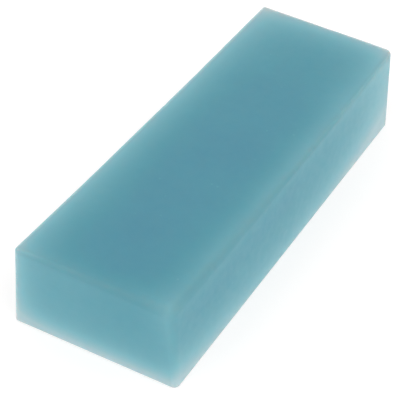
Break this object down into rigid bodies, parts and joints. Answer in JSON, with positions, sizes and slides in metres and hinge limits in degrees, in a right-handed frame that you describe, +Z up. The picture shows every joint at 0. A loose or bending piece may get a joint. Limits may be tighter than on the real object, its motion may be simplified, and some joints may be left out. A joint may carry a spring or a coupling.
{
  "type": "clay bar",
  "caption": "Rectangular block of soft translucent clay, kneaded by hand and rubbed over wet paintwork to lift off dirt.",
  "frame": {"origin": "centre of the base, on the plane that the bar rests on", "axes": "+X along the bar, +Y across it, +Z up from the base"},
  "size_m": [0.122, 0.0442, 0.0244],
  "materials": {
    "clay": "soft waxy translucent clay, satin, paler at thin edges"
  },
  "bodies": {
    "root": {"clay_bar": "clay"}
  },
  "joints": []
}
